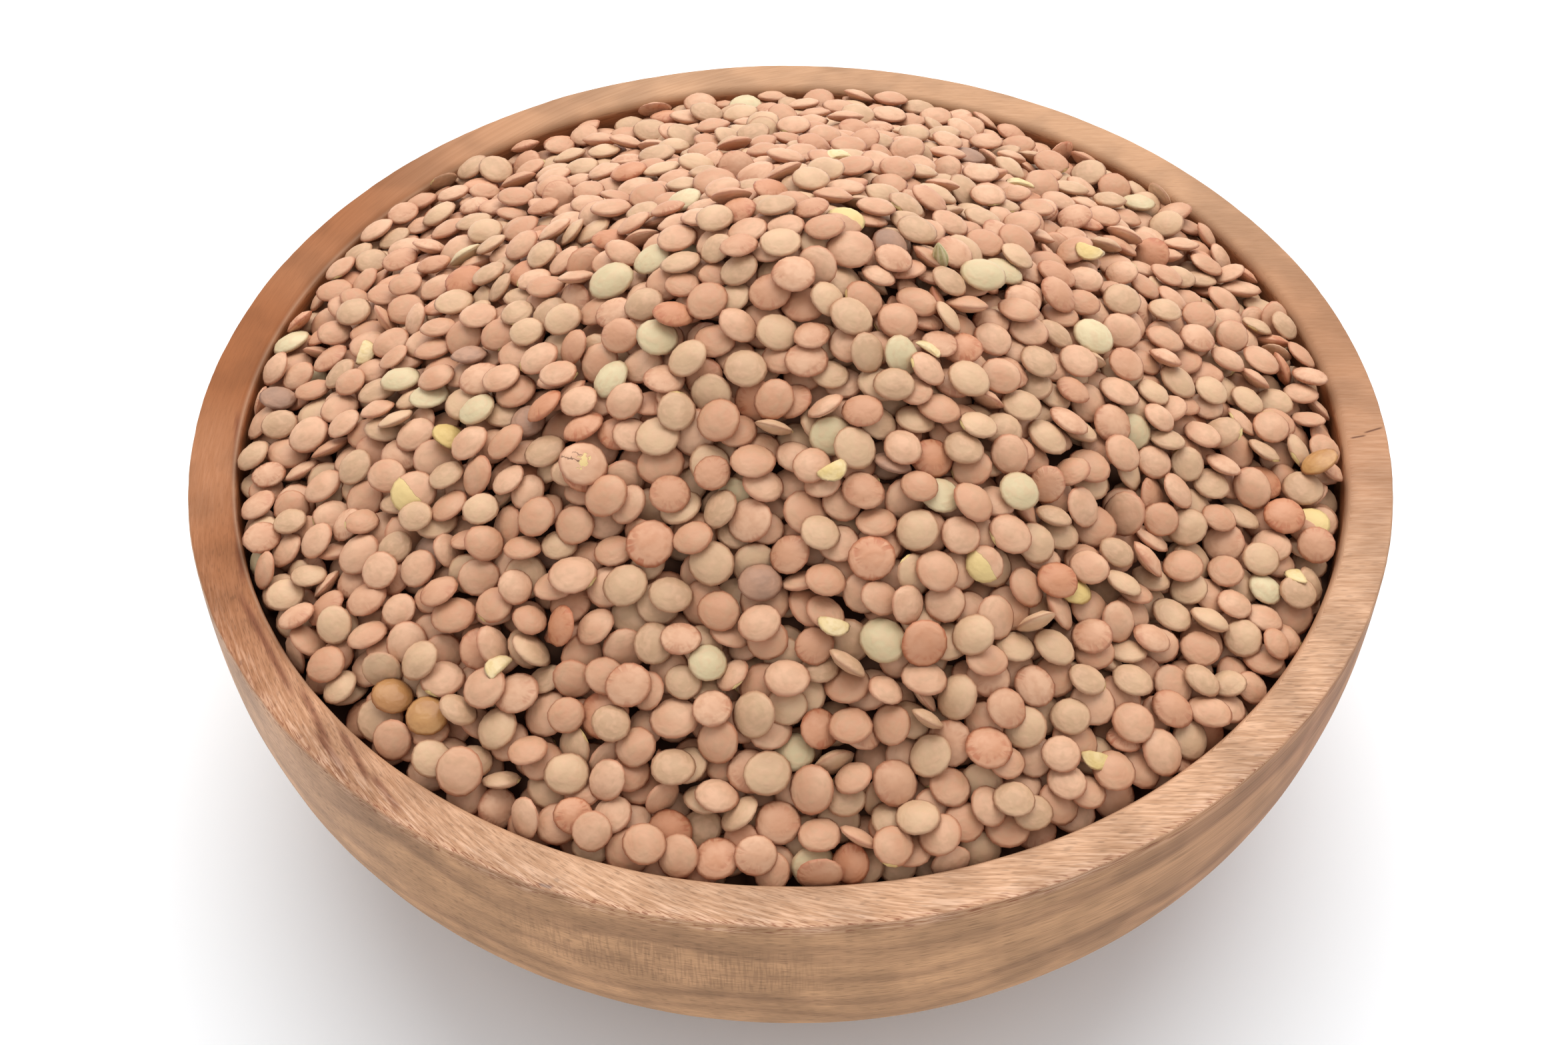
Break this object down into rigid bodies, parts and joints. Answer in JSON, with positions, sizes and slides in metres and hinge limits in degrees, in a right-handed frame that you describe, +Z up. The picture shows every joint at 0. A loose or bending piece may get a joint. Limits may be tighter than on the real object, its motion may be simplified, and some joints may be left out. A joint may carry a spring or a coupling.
{
  "type": "bowl of dry lentils",
  "caption": "Round turned wooden bowl with a flat rim and an upright wall that curves in to a flat base, heaped in a blunt cone with dry brown lentils.",
  "frame": {"origin": "centre of the bowl's flat underside", "axes": "+Z up through the heap's top; the picture looks along +Y, with +X to its right"},
  "size_m": [0.2, 0.2, 0.1089],
  "materials": {
    "turned_wood": "bare turned hardwood, satin to dull, fine pores",
    "lentil_skin": "dry matte seed skin, pinkish tan to olive tan"
  },
  "bodies": {
    "root": {"bowl": "turned_wood", "lentils": "lentil_skin"}
  },
  "joints": []
}
